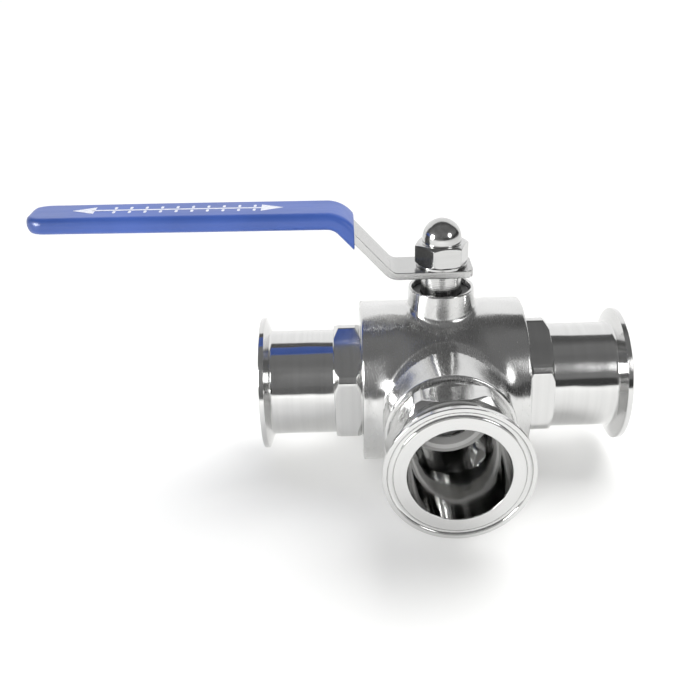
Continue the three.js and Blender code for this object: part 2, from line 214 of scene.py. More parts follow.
def turned(profile, port="up", steps=FINE, limit=None, edge=0.35, closed=True, sweep=None):
    """A turned piece. The profile lists (radius, height, cut): where cut is true, the radius is
    held under limit(angle). A closed profile makes a ring; an open one ends on the axis.
    sweep (start, end, rise) turns only part of the way, and climbs by rise. Each point keeps three
    marks: its turn and its way along the profile, the profile's direction, and whether it is in a
    bore."""
    profile = [tuple(p) + (False,) * (3 - len(p)) for p in profile]
    radius = np.array([p[0] for p in profile], float)
    height = np.array([p[1] for p in profile], float)
    cut = np.array([p[2] for p in profile], bool)
    if sweep:
        angle = np.radians(np.linspace(sweep[0], sweep[1], steps))
        climb = np.linspace(0, sweep[2], steps)
    else:
        angle = np.arange(steps) * 2 * math.pi / steps
        climb = np.zeros(steps)
    r = np.repeat(radius[:, None], steps, 1)
    if limit is not None:
        held = soft_min(r, limit(angle)[None], edge)
        r = np.where(cut[:, None], held, r)
    along = np.r_[0, np.cumsum(np.hypot(np.diff(radius), np.diff(height)))]
    following = np.roll(np.c_[radius, height], -1, 0) - np.roll(np.c_[radius, height], 1, 0)
    if not closed:
        following[0] = (radius[1] - radius[0], height[1] - height[0])
        following[-1] = (radius[-1] - radius[-2], height[-1] - height[-2])
    following /= np.maximum(np.linalg.norm(following, axis=1, keepdims=True), 1e-9)
    number = np.full(r.shape, -1)
    points, mark, lay = [], [], []
    cos, sin = np.cos(angle), np.sin(angle)
    for j in range(len(profile)):
        if radius[j] < 1e-9:
            number[j] = len(points)
            points.append((0, 0, height[j]))
            mark.append((0, 0, along[j]))
            lay.append((1, 0, 0))
            continue
        number[j] = np.arange(steps) + len(points)
        points += list(zip(r[j] * cos, r[j] * sin, height[j] + climb))
        mark += list(zip(cos, sin, np.full(steps, along[j])))
        dr, dh = following[j]
        lay += list(zip(dr * cos, dr * sin, np.full(steps, dh)))
    faces = []
    rows = len(profile) if closed else len(profile) - 1
    turns = steps - 1 if sweep else steps
    for j in range(rows):
        low, high = number[j], number[(j + 1) % len(profile)]
        for i in range(turns):
            k = (i + 1) % steps
            corners = [low[i], low[k], high[k], high[i]]
            unique = list(dict.fromkeys(corners))
            if len(unique) > 2:
                faces.append(unique)
    if sweep:
        faces += [[row[0] for row in number], [row[-1] for row in number][::-1]]
    points = np.array(points, float)
    spin = PORTS[port]
    points, lay = points @ spin.T, np.array(lay, float) @ spin.T
    if volume(points, faces) < 0:
        faces = [f[::-1] for f in faces]
    from_axis = np.linalg.norm(points @ spin * (1, 1, 0), axis=1)
    inside = np.repeat((from_axis < BORE + 0.1)[:, None], 3, 1)
    return {"points": points, "faces": faces, "turned": mark, "lay": lay, "inside": inside}


def volume(points, faces):
    total = 0.0
    for f in faces:
        a = points[f[0]]
        for b, c in zip(f[1:-1], f[2:]):
            total += a @ np.cross(points[b], points[c])
    return total


# ------------------------------------------------------------------ surfaces from distances
def skin(distance, low, high, pitch):
    """The surface where distance is zero, as quads with exact normals: one point to each cell of
    a grid that the surface passes through, drawn onto the surface."""
    axes = [np.arange(a, b + pitch, pitch) for a, b in zip(low, high)]
    origin = np.array([a[0] for a in axes])
    grid = np.stack(np.meshgrid(*axes, indexing="ij"), -1)
    d = distance(grid)
    inside = d < 0
    count = np.zeros([n - 1 for n in d.shape], np.int8)
    corners = [(i, j, k) for i in (0, 1) for j in (0, 1) for k in (0, 1)]
    size = count.shape
    for i, j, k in corners:
        count += inside[i:i + size[0], j:j + size[1], k:k + size[2]]
    cells = np.argwhere((count > 0) & (count < 8))
    number = np.full(size, -1)
    number[tuple(cells.T)] = np.arange(len(cells))
    total = np.zeros((len(cells), 3))
    crossings = np.zeros(len(cells))
    for axis in range(3):
        step = np.eye(3, dtype=int)[axis]
        for corner in corners:
            if corner[axis]:
                continue
            a = cells + corner
            b = a + step
            da, db = d[tuple(a.T)], d[tuple(b.T)]
            crossed = (da < 0) != (db < 0)
            share = np.where(crossed, da / np.where(crossed, da - db, 1), 0)
            total += np.where(crossed[:, None], a + share[:, None] * step, 0)
            crossings += crossed
    points = origin + total / crossings[:, None] * pitch
    faces = []
    for axis in range(3):
        others = [n for n in range(3) if n != axis]
        first = np.take(inside, range(d.shape[axis] - 1), axis)
        second = np.take(inside, range(1, d.shape[axis]), axis)
        at = np.argwhere(first != second)
        at = at[(at[:, others] > 0).all(1) & (at[:, others] < np.array(d.shape)[others] - 1).all(1)]
        u, v = (np.eye(3, dtype=int)[n] for n in others)
        quad = np.stack([number[tuple((at - a * u - b * v).T)] for a, b in
                         ((1, 1), (0, 1), (0, 0), (1, 0))], 1)
        flip = first[tuple(at.T)] == (axis == 1)
        quad[flip] = quad[flip][:, ::-1]
        faces.append(quad)
    for _ in range(4):
        value = distance(points)
        slope = gradient(distance, points)
        shift = value[:, None] * slope / np.maximum((slope ** 2).sum(1, keepdims=True), 0.2)
        points -= np.clip(shift, -pitch, pitch)
    slope = gradient(distance, points)
    normals = slope / np.maximum(np.linalg.norm(slope, axis=1, keepdims=True), 1e-9)
    return points, np.concatenate(faces), normals


def gradient(distance, points, step=0.02):
    return np.stack([(distance(points + step * e) - distance(points - step * e)) / (2 * step)
                     for e in np.eye(3)], -1)


def filleted(a, b, radius):
    """Two solids joined, with a fillet between them."""
    fill = np.hypot(np.maximum(radius - a, 0), np.maximum(radius - b, 0))
    return np.maximum(radius, np.minimum(a, b)) - fill


def common(a, b, radius):
    """What two solids share, with its edge rounded."""
    trim = np.hypot(np.maximum(a + radius, 0), np.maximum(b + radius, 0))
    return np.minimum(-radius, np.maximum(a, b)) + trim


def ramp(above, outside, height, width):
    """A concave ramp, tangent to the ground and meeting a wall at an edge at the given height."""
    bend = (width ** 2 + height ** 2) / (2 * height)
    curve = bend - np.hypot(np.maximum(width - outside, 0), np.maximum(bend - above, 0))
    return np.maximum(curve, np.maximum(above - height, outside - width))


def cut_from(a, b, radius):
    return common(a, -b, radius)


def body_distance(p):
    """The forged body: barrel, neck and boss, bored for the ball, the connectors and the stem."""
    x, y, z = p[..., 0], p[..., 1], p[..., 2]
    round_x, round_y, round_z = np.hypot(y, z), np.hypot(x, z), np.hypot(x, y)
    barrel = common(round_x - BARREL, np.abs(x) - BARREL_HALF, 1.1)
    neck = np.maximum(common(round_y - NECK, -y - NECK_FACE, 1.3), y)
    spread = 0.6 * np.clip((BOSS_TOP - z) / 12, 0, 1)
    boss = common(round_z - BOSS - spread, z - BOSS_TOP, 0.7)
    boss = np.maximum(boss, 10 - z)
    # The forging climbs to the turned neck most steeply above and below it.
    lean = (z / np.maximum(round_y, 1)) ** 2
    height = RAMP_LOW + RAMP_RISE * np.minimum(lean / 0.35, 1)
    climb = ramp(round_x - BARREL, round_y - NECK, height, RAMP_WIDTH + 2.5 * lean)
    climb = np.maximum(np.maximum(climb, y), np.abs(x) - BARREL_HALF + 0.5)
    whole = filleted(np.minimum(np.minimum(barrel, neck), climb), boss, 2.6)
    whole = np.maximum(whole, -(round_x - CAVITY))
    whole = cut_from(whole, np.maximum(round_x - THREAD, THREAD_START - np.abs(x)), 0.3)
    whole = cut_from(whole, np.maximum(round_y - SEAT - GAP, y + 20), 0.3)
    middle, half = SHOULDER_ROOM
    whole = np.maximum(whole, -np.maximum(round_z - PACKING, np.abs(z - middle) - half))
    whole = np.maximum(whole, -np.maximum(round_z - STEM - GAP, 20 - z))
    whole = np.maximum(whole, -np.maximum(round_z - PACKING, PACKING_FLOOR - z))
    return cut_from(whole, np.maximum(round_z - RECESS, RECESS_FLOOR - z), 0.5)


def ball_distance(p):
    """The ball: a through bore along Y, a leg towards -X and the stem's slot on top."""
    x, y, z = p[..., 0], p[..., 1], p[..., 2]
    ball = np.sqrt(x * x + y * y + z * z) - BALL
    bore = np.hypot(x, z) - BALL_BORE
    leg = np.maximum(np.hypot(y, z) - BALL_BORE, x)
    ball = cut_from(ball, np.minimum(bore, leg), 0.5)
    ball = common(ball, z - (BALL - 0.9), 0.3)
    slot = np.maximum(np.maximum(np.abs(x) - 4.5, np.abs(y) - 10.4), 26.3 - z)
    return np.maximum(ball, -slot)


# ------------------------------------------------------------------ materials
class Nodes:
    """Short names for making the nodes of one tree."""

    def __init__(self, tree):
        self.tree = tree

    def add(self, kind, *inputs, **settings):
        node = self.tree.nodes.new("ShaderNode" + kind)
        for key, value in settings.items():
            setattr(node, key, value)
        for i, value in enumerate(inputs):
            if isinstance(value, bpy.types.NodeSocket):
                self.tree.links.new(value, node.inputs[i])
            else:
                node.inputs[i].default_value = value
        return node

    def math(self, operation, *inputs):
        return self.add("Math", *inputs, operation=operation).outputs[0]

    def vector(self, operation, *inputs):
        return self.add("VectorMath", *inputs, operation=operation).outputs["Vector"]

    def scaled(self, vector, by):
        node = self.add("VectorMath", vector, operation="SCALE")
        self.tree.links.new(by, node.inputs["Scale"])
        return node.outputs["Vector"]

    def mark(self, name):
        return self.add("Attribute", attribute_name=name).outputs["Vector"]

    def place(self):
        return self.add("TexCoord").outputs["Object"]

    def noise(self, vector, scale, detail=2.0, rough=0.5):
        node = self.add("TexNoise")
        self.tree.links.new(vector, node.inputs["Vector"])
        node.inputs["Scale"].default_value = scale
        node.inputs["Detail"].default_value = detail
        node.inputs["Roughness"].default_value = rough
        return node.outputs[0]

    def between(self, value, low, high, to_low=0.0, to_high=1.0):
        node = self.add("MapRange", value, low, high, to_low, to_high, clamp=True)
        return node.outputs[0]

    def mix(self, share, a, b):
        node = self.add("Mix", share, data_type="RGBA")
        node.inputs[6].default_value = (*a, 1)
        node.inputs[7].default_value = (*b, 1)
        return node.outputs[2]

    def bump(self, height, distance, normal=None):
        node = self.add("Bump")
        node.inputs["Distance"].default_value = distance
        self.tree.links.new(height, node.inputs["Height"])
        if normal is not None:
            self.tree.links.new(normal, node.inputs["Normal"])
        return node.outputs[0]

    def to_world(self, vector):
        """A direction kept with the piece, turned as the piece is."""
        return self.add("VectorTransform", vector, vector_type="VECTOR",
                        convert_from="OBJECT", convert_to="WORLD").outputs[0]

    def leaning(self, lean):
        """The surface normal, leaned by a vector that moves with the piece."""
        normal = self.add("NewGeometry").outputs["Normal"]
        return self.vector("NORMALIZE", self.vector("ADD", normal, self.to_world(lean)))


class Surface(Nodes):
    """A material made of nodes."""

    def __init__(self, name):
        self.material = bpy.data.materials.new(name)
        self.material.use_nodes = True
        super().__init__(self.material.node_tree)
        self.shader = self.tree.nodes["Principled BSDF"]

    def set(self, **values):
        for key, value in values.items():
            socket = self.shader.inputs[key.replace("_", " ")]
            if isinstance(value, bpy.types.NodeSocket):
                self.tree.links.new(value, socket)
            else:
                socket.default_value = value
        return self.material


def scratches(n, vector, scale, keep):
    """Fine sparse lines: 1 on a line and 0 off it."""
    field = n.noise(vector, scale, 3.0, 0.6)
    return n.between(n.math("ABSOLUTE", n.math("SUBTRACT", field, 0.5)), 0.0, keep, 1.0, 0.0)


def turned_steel(name, colour, low, high, lean, lines=2.4, streak=0.0):
    """Steel with the fine rings that turning and polishing leave round its axis. streak spreads
    what it reflects along the axis, across those rings."""
    n = Surface(name)
    mark = n.mark("turned")
    ring = n.vector("MULTIPLY", mark, (0.8, 0.8, lines))
    fine = n.noise(ring, 1.0, 4.0, 0.65)
    coarse = n.noise(n.vector("MULTIPLY", mark, (0.35, 0.35, lines * 0.22)), 1.0, 2.0)
    place = n.place()
    cloud = n.noise(place, 55.0, 3.0)
    rough = n.between(fine, 0.3, 0.7, low, high)
    inside = n.add("Attribute", attribute_name="inside").outputs["Fac"]
    rough = n.math("MULTIPLY", rough, n.between(inside, 0.0, 1.0, 1.0, 0.4))
    marks = scratches(n, n.vector("MULTIPLY", mark, (1.4, 1.4, lines * 0.4)), 3.0, 0.012)
    rough = n.math("ADD", rough, n.math("MULTIPLY", marks, 0.06))
    rough = n.math("ADD", rough, n.between(cloud, 0.3, 0.7, -0.015, 0.02))
    tint = n.mix(n.between(n.math("ADD", coarse, n.math("MULTIPLY", cloud, 0.5)), 0.5, 1.0),
                 [c * 0.94 for c in colour], colour)
    swing = n.math("MULTIPLY", n.math("SUBTRACT", fine, 0.5), lean)
    normal = n.leaning(n.scaled(n.mark("lay"), swing))
    normal = n.bump(n.noise(place, 60.0, 1.0), 0.0003, normal)
    if streak:
        # Cycles spreads a reflection most along the tangent when Anisotropic Rotation is 0.
        n.set(Anisotropic=streak, Tangent=n.to_world(n.mark("lay")))
    return n.set(Base_Color=tint, Metallic=1.0, Roughness=rough, Normal=normal)


def cast_steel(name, colour):
    """The forged body: mirror polished by hand, so its reflections wander a little."""
    n = Surface(name)
    place = n.place()
    cloud = n.noise(place, 60.0, 3.0)
    lines = n.noise(n.vector("MULTIPLY", place, (1600.0, 90.0, 90.0)), 1.0, 3.0, 0.6)
    swing = n.math("MULTIPLY", n.math("SUBTRACT", lines, 0.5), 0.07)
    normal = n.leaning(n.scaled(n.mark("lay"), swing))
    marks = scratches(n, n.vector("MULTIPLY", place, (500.0, 120.0, 120.0)), 1.0, 0.010)
    rough = n.between(cloud, 0.3, 0.7, 0.19, 0.25)
    rough = n.math("ADD", rough, n.math("MULTIPLY", marks, 0.12))
    wander = n.noise(place, 42.0, 1.5)
    normal = n.bump(wander, 0.0014, normal)
    n.set(Anisotropic=0.9, Tangent=n.to_world(n.mark("lay")))
    tint = n.mix(n.between(cloud, 0.35, 0.65), [c * 0.93 for c in colour], colour)
    return n.set(Base_Color=tint, Metallic=1.0, Roughness=rough, Normal=normal)


def strip_steel(name, colour):
    """The lever's flat bar: rolled strip with a long grain and a blasted finish."""
    n = Surface(name)
    strip = n.mark("strip")
    grain = n.noise(n.vector("MULTIPLY", strip, (0.05, 2.6, 2.6)), 1.0, 4.0, 0.6)
    speck = n.noise(strip, 1.6, 3.0, 0.6)
    rough = n.between(n.math("ADD", grain, n.math("MULTIPLY", speck, 0.6)), 0.5, 1.1, 0.16, 0.30)
    tint = n.mix(n.between(speck, 0.35, 0.7), [c * 0.92 for c in colour], colour)
    height = n.math("ADD", n.math("MULTIPLY", grain, 0.6), n.math("MULTIPLY", speck, 0.4))
    normal = n.bump(height, 0.00004)
    return n.set(Base_Color=tint, Metallic=1.0, Roughness=rough, Normal=normal)


def vinyl(name, colour):
    """Dipped vinyl: a soft gloss with orange peel, and slightly rubbed."""
    n = Surface(name)
    place = n.place()
    peel = n.noise(place, 420.0, 2.0)
    cloud = n.noise(place, 30.0, 3.0)
    rub = n.noise(n.vector("MULTIPLY", place, (20.0, 160.0, 160.0)), 1.0, 4.0, 0.7)
    patchy = n.between(cloud, 0.3, 0.7, -0.03, 0.03)
    rough = n.math("ADD", n.between(rub, 0.3, 0.75, 0.30, 0.46), patchy)
    tint = n.mix(n.between(cloud, 0.3, 0.7), [c * 0.88 for c in colour], [c * 1.08 for c in colour])
    normal = n.bump(n.math("ADD", peel, n.math("MULTIPLY", cloud, 3.0)), 0.00006)
    n.set(Specular_IOR_Level=0.6)
    return n.set(Base_Color=tint, Roughness=rough, Normal=normal)


def fluoropolymer(name, colour):
    """White seat rings: waxy, faintly mottled, with turning rings."""
    n = Surface(name)
    place = n.place()
    cloud = n.noise(place, 90.0, 3.0)
    rings = n.noise(n.vector("MULTIPLY", n.mark("turned"), (0.8, 0.8, 3.0)), 1.0, 3.0)
    tint = n.mix(n.between(cloud, 0.3, 0.7), [c * 0.93 for c in colour], colour)
    rough = n.between(rings, 0.3, 0.7, 0.34, 0.48)
    normal = n.bump(n.math("ADD", rings, cloud), 0.00004)
    return n.set(Base_Color=tint, Roughness=rough, Normal=normal)


def plain_grain(name, colour, low, high, metallic=0.0, scale=300.0, depth=0.00003):
    """For the small sealed pieces: their colour with a fine grain."""
    n = Surface(name)
    place = n.place()
    grain = n.noise(place, scale, 4.0, 0.6)
    tint = n.mix(n.between(grain, 0.3, 0.7), [c * 0.85 for c in colour], colour)
    return n.set(Base_Color=tint, Metallic=metallic, Roughness=n.between(grain, 0.3, 0.7, low, high),
                 Normal=n.bump(grain, depth))


def printing(name):
    n = Surface(name)
    place = n.place()
    worn = n.noise(place, 700.0, 4.0, 0.7)
    tint = n.mix(n.between(worn, 0.35, 0.6), (0.62, 0.65, 0.78), (0.86, 0.87, 0.92))
    return n.set(Base_Color=tint, Roughness=n.between(worn, 0.3, 0.7, 0.35, 0.55),
                 Normal=n.bump(worn, 0.00002))


STEEL = (0.70, 0.70, 0.695)
body_steel = cast_steel("polished_body_steel", STEEL)
tube_steel = turned_steel("polished_tube_steel", STEEL, 0.13, 0.16, 0.012, streak=0.9)
inner_steel = turned_steel("honed_ball_steel", (0.60, 0.60, 0.595), 0.08, 0.14, 0.10)
stem_steel = turned_steel("turned_stem_steel", (0.62, 0.62, 0.615), 0.36, 0.44, 0.16, 3.2, 0.9)
nut_steel = turned_steel("polished_nut_steel", (0.57, 0.57, 0.567), 0.34, 0.39, 0.02, streak=0.1)
bar_steel = strip_steel("rolled_bar_steel", (0.54, 0.54, 0.536))
blue_vinyl = vinyl("blue_vinyl", (0.048, 0.112, 0.43))
white_seat = fluoropolymer("white_fluoropolymer", (0.94, 0.935, 0.92))
white_print = printing("white_print")
dark_rubber = plain_grain("dark_rubber", (0.03, 0.03, 0.032), 0.55, 0.8)
plain_steel = plain_grain("machined_steel", (0.66, 0.66, 0.655), 0.22, 0.4, 1.0)
# Near-black steel for the gland nut: painted shade, so the recess round the stem reads as deep shadow.
painted_shade_steel = plain_grain("painted_shade_gland_steel", (0.10, 0.10, 0.10), 0.35, 0.5, 1.0)
plain_white = plain_grain("white_packing", (0.86, 0.855, 0.83), 0.4, 0.6)

# ------------------------------------------------------------------ body and ball
points, faces, normals = skin(body_distance, (-40, -56.5, -41), (40, 41, 51), BODY_PITCH)
# The axis that each stretch was polished round: X on the barrel, Y on the neck, Z on the boss.
FAR = 50.0
off = np.stack([np.hypot(points[:, b], points[:, c]) - r for b, c, r in
                ((1, 2, BARREL), (0, 2, NECK), (0, 1, BOSS))], 1)
off[:, 1] += np.where(points[:, 1] > 0, FAR, 0)
off[:, 2] += np.where(points[:, 2] < 0, FAR, 0)
share = np.exp(-np.clip(np.abs(off), 0, FAR + 10) / 0.8) + 1e-9
piece("valve_body_fine", points, faces, "housing", body_steel, ["valve_body"], "polished_steel",
      normals, lay=share / np.linalg.norm(share, axis=1, keepdims=True))
points, faces, normals = skin(ball_distance, (-34, -34, -34), (34, 34, 33), BALL_PITCH)
ball_lay = np.zeros_like(points)
ball_lay[:, 1] = 1
inner = np.c_[points[:, 0] / BALL_BORE, points[:, 2] / BALL_BORE, points[:, 1]]
piece("ball_fine", points, faces, "ball_and_lever", inner_steel, ["ball"], "polished_steel",
      normals, turned=inner, lay=ball_lay)


# ------------------------------------------------------------------ end connectors
def collar_rings(base, top):
    """Heights up a collar's side with the radius of its turned shape, both ends chamfered."""
    side = [(COLLAR - COLLAR_CHAMFER + t * COLLAR_CHAMFER, base + t * COLLAR_CHAMFER, True)
            for t in np.linspace(0, 1, 9)]
    middle = [(COLLAR, h, True) for h in np.linspace(base + COLLAR_CHAMFER, top - COLLAR_CHAMFER, 8)]
    far = [(r, top + base - h, True) for r, h, _ in side[::-1]]
    return side + middle[1:-1] + far


def connector(base, top, nose):
    """The closed profile of an end connector: out along its bore, over the clamp face, the tube and
    the collar, and back to its nose."""
    cone = CLAMP_FACE - 2.4
    groove = [(28.8 + 1.4 * math.cos(a), CLAMP_FACE + 1.15 * math.sin(a))
              for a in np.linspace(math.pi, 2 * math.pi, 9)]
    front = rounded([
        (THROAT, TAPER[0] - 4),
        (THROAT, TAPER[0], 30),
        (BORE, TAPER[1]),
        (BORE, CLAMP_FACE, 0.35),
        (27.3, CLAMP_FACE),
        *groove,
        (30.3, CLAMP_FACE),
        (FERRULE, CLAMP_FACE, 0.45),
        (FERRULE, cone, 0.3),
        (TUBE, cone - (FERRULE - TUBE) * math.tan(math.radians(20)), 1.6),
        (TUBE, top + 0.4, 0.35),
        (TUBE + 0.9, top, 0.1),
        (COLLAR - COLLAR_CHAMFER - 1.4, top),
    ])
    back = rounded([(STEP, base), (STEP, nose[0][1], 0.3), *nose, (THROAT, SEAT_BACK + GAP)])
    return front + collar_rings(base, top)[::-1] + back


run_nose = [
    (THREAD - GAP, BARREL_HALF, 0.5),
    (THREAD - GAP, THREAD_START + 1.5),
    (CAVITY - GAP, THREAD_START + 1.5),
    (CAVITY - GAP, THREAD_START - 0.2),
    (SEAT + GAP, THREAD_START - 0.2),
    (SEAT + GAP, SEAT_BACK + GAP),
]
branch_nose = [
    (SEAT, NECK_FACE + GAP),
    (SEAT, 52.3),
    (24.1, 52.3),
    (24.1, 50.1),
    (SEAT, 50.1),
    (SEAT, SEAT_BACK + GAP),
]
for port, corner_at, base, top, nose in (
    ("left", -2.7, BARREL_HALF + 0.5, BARREL_HALF + 12.8, run_nose),
    ("right", -2.0, BARREL_HALF + 0.5, BARREL_HALF + 12.8, run_nose),
    ("branch", 2.6, NECK_FACE + 3.2, NECK_FACE + 16.1, branch_nose),
):
    shape = turned(connector(base, top, nose), port, limit=hexagon(COLLAR_FLATS, corner_at))
    piece(f"{port}_end_connector_fine", shape.pop("points"), shape.pop("faces"), "housing",
          tube_steel, [f"{port}_end_connector"], "polished_steel", **shape)

# ------------------------------------------------------------------ seats
lip = BALL + GAP
seat_profile = [(r, math.sqrt(lip ** 2 - r ** 2)) for r in np.linspace(SEAT_BORE, 22.3, 8)]
seat_profile += rounded([
    seat_profile[-1],
    (22.6, 24.6),
    (SEAT, 27.6, 0.4),
    (SEAT, SEAT_BACK, 0.4),
    (SEAT_BORE, SEAT_BACK, 0.4),
    (SEAT_BORE, SEAT_BACK - 5),
])[1:]
for port in ("left", "right", "branch"):
    shape = turned(seat_profile, port, 192)
    piece(f"{port}_seat_ring_fine", shape.pop("points"), shape.pop("faces"), "housing",
          white_seat, [f"{port}_seat_ring"], "white_seat", **shape)

# ------------------------------------------------------------------ stem, nut and washer
def flats(half):
    """Two flats across the stem, which make its double-D."""
    return lambda angle: half / np.maximum(np.abs(np.sin(angle)), 1e-3)


tool_rings = []
for k in range(9):
    h = 47.4 + k * 0.95
    tool_rings += [(STEM, h), (STEM - 0.035, h + 0.12), (STEM - 0.035, h + 0.20), (STEM, h + 0.32)]
stem_profile = rounded([
    (0, 31.9), (12, 31.9, 0.3), (12, 34.6, 0.3), (STEM, 34.6), (STEM, 36.8), (8.3, 36.8),
    (8.3, 38.6), (STEM, 38.6), (STEM, 47.0),
]) + tool_rings + rounded([
    (STEM, STEM_TOP - 0.5), (STEM, STEM_TOP, 0.4), (7.8, STEM_TOP),
])
stem_profile += [(7.8, h, True) for h in np.linspace(STEM_TOP + 0.02, BAR_BASE + BAR_THICK, 6)]
stem_profile += rounded([
    (5.2, BAR_BASE + BAR_THICK), (THREAD_HALF, BAR_BASE + BAR_THICK + 0.02),
    (THREAD_HALF, THREAD_TOP, 0.7), (0, THREAD_TOP),
])[1:]
shape = turned(stem_profile, steps=SMALL, limit=flats(STEM_FLAT), edge=0.2, closed=False)
piece("stem_fine", shape.pop("points"), shape.pop("faces"), "ball_and_lever", stem_steel,
      ["stem"], "machined_steel", **shape)

corner = NUT_FLATS / math.sqrt(3)
nut_side = [(corner - 1.0 + 1.1 * t, NUT_BASE + 0.7 * t, True) for t in np.linspace(0, 1, 7)]
nut_side += [(corner + 0.1, h, True) for h in np.linspace(NUT_BASE + 0.7, NUT_TOP - 1.3, 8)[1:-1]]
nut_side += [(corner + 0.1 - 2.3 * t, NUT_TOP - 1.3 * (1 - t), True) for t in np.linspace(0, 1, 10)]
dome = [(DOME * math.cos(a), DOME_CENTRE + DOME * math.sin(a)) for a in np.linspace(0, math.pi / 2, 25)]
dome[-1] = (0, DOME_CENTRE + DOME)
dome_foot = rounded([(corner - 2.3, NUT_TOP), (DOME, NUT_TOP, 0.35), (DOME, DOME_CENTRE - 0.3)])
nut_profile = [(0, THREAD_TOP + 2.4), (THREAD_HALF + GAP, THREAD_TOP + 0.2),
               (THREAD_HALF + GAP, NUT_BASE + 0.6), (THREAD_HALF + 0.9, NUT_BASE)]
nut_profile += nut_side + dome_foot + dome
shape = turned(nut_profile, steps=SMALL, limit=hexagon(NUT_FLATS, NUT_CORNER), edge=0.3, closed=False)
piece("dome_nut_fine", shape.pop("points"), shape.pop("faces"), "ball_and_lever", nut_steel,
      ["dome_nut"], "polished_steel", **shape)

washer_base = BAR_BASE + BAR_THICK + 0.1
washer = rounded([
    (THREAD_HALF + 2, washer_base), (11.9, washer_base, 0.2), (11.9, washer_base + 1.25, 0.2),
    (THREAD_HALF + 0.6, washer_base + 1.25, 0.2), (THREAD_HALF + 0.6, washer_base, 0.2),
    (THREAD_HALF + 1.9, washer_base),
])
shape = turned(washer, steps=SMALL, sweep=(68.5, 421.5, 0.12))
piece("lock_washer_fine", shape.pop("points"), shape.pop("faces"), "ball_and_lever", nut_steel,
      ["lock_washer"], "machined_steel", **shape)

# ------------------------------------------------------------------ lever
GRIP_MIDDLE = 85.2
GRIP_RISE = math.tan(math.radians(0.67))
UPPER_BEND = (-47.8, GRIP_MIDDLE)
far_end = (-190.0, GRIP_MIDDLE + (UPPER_BEND[0] + 190.0) * GRIP_RISE)
centre_line = np.array(rounded(
    [(BAR_END, BAR_MIDDLE), (-23.4, BAR_MIDDLE, 7), (*UPPER_BEND, 11), far_end], 24
))
distance_along = np.r_[0, np.cumsum(np.linalg.norm(np.diff(centre_line, axis=0), axis=1))]
step_angle = np.unwrap(np.arctan2(*np.diff(centre_line, axis=0)[:, ::-1].T))
middles = (distance_along[1:] + distance_along[:-1]) / 2


def on_path(s, y, t, cut_at=None):
    """Points s along the lever, y across it and t above its centre line. cut_at slides them along
    the bar to that X, for an end that is cut upright."""
    s, y, t = (np.asarray(v, float) for v in np.broadcast_arrays(s, y, t))
    at = np.stack([np.interp(s, distance_along, centre_line[:, k]) for k in (0, 1)], -1)
    angle = np.interp(s, middles, step_angle)
    ahead = np.stack([np.cos(angle), np.sin(angle)], -1)
    up = np.stack([ahead[..., 1], -ahead[..., 0]], -1)
    at = at + up * t[..., None]
    if cut_at is not None:
        at = at + ahead * ((cut_at - at[..., 0]) / ahead[..., 0])[..., None]
    return np.stack([at[..., 0], y, at[..., 1]], -1)


def s_at(x):
    """How far along the centre line it passes x."""
    return float(np.interp(-x, -centre_line[:, 0], distance_along))


def arc(cx, cy, radius, start, end, steps):
    return [(cx + radius * math.cos(math.radians(a)), cy + radius * math.sin(math.radians(a)))
            for a in np.linspace(start, end, steps + 1)]


def lever_bar():
    """The flat bar: its plan cut out flat with a fine broken edge, then bent along the path."""
    edge = 0.35
    half = BAR_WIDTH / 2
    end = s_at(BAR_TIP)
    heel, toe = 4.5, 5  # radii of the corners by the stem and inside the grip
    plan = arc(heel, half - heel, heel, 180, 90, 10) + arc(end - toe, half - toe, toe, 90, 0, 8)
    plan += arc(end - toe, toe - half, toe, 0, -90, 8) + arc(heel, heel - half, heel, -90, -180, 10)
    hole_flat, hole_round = 5.7, 8.1
    turn = math.degrees(math.asin(hole_flat / hole_round))
    hole = arc(BAR_END, 0, hole_round, -turn, turn, 14)
    hole += arc(BAR_END, 0, hole_round, 180 - turn, 180 + turn, 14)
    curve = bpy.data.curves.new("bar_plan", "CURVE")
    curve.dimensions = "2D"
    curve.fill_mode = "BOTH"
    curve.extrude = BAR_THICK / 2 - edge
    curve.bevel_depth = edge
    curve.bevel_resolution = 2
    curve.offset = -edge
    for outline in (plan, hole):
        line = curve.splines.new("POLY")
        line.points.add(len(outline) - 1)
        for point, (s, y) in zip(line.points, outline):
            point.co = (s, y, 0, 1)
        line.use_cyclic_u = True
    holder = bpy.data.objects.new("bar_plan", curve)
    bpy.context.scene.collection.objects.link(holder)
    bpy.context.view_layer.update()
    graph = bpy.context.evaluated_depsgraph_get()
    flat_mesh = bpy.data.meshes.new_from_object(holder.evaluated_get(graph))
    bpy.data.objects.remove(holder)
    work = bmesh.new()
    work.from_mesh(flat_mesh)
    bmesh.ops.remove_doubles(work, verts=work.verts, dist=1e-4)
    for s in [*distance_along[1:-1], *np.arange(4, end, 6.0)]:
        everything = work.verts[:] + work.edges[:] + work.faces[:]
        bmesh.ops.bisect_plane(work, geom=everything, dist=1e-5, plane_co=(s, 0, 0), plane_no=(1, 0, 0))
    bmesh.ops.triangulate(work, faces=[f for f in work.faces if len(f.verts) > 4])
    bmesh.ops.recalc_face_normals(work, faces=work.faces)
    strip = np.array([v.co for v in work.verts])
    faces = [[v.index for v in f.verts] for f in work.faces]
    work.free()
    return on_path(*strip.T), faces, strip


points, faces, strip = lever_bar()
if volume(points, faces) < 0:
    faces = [f[::-1] for f in faces]
piece("lever_plate_fine", points, faces, "ball_and_lever", bar_steel, ["lever_plate"], "bar_steel",
      strip=strip)


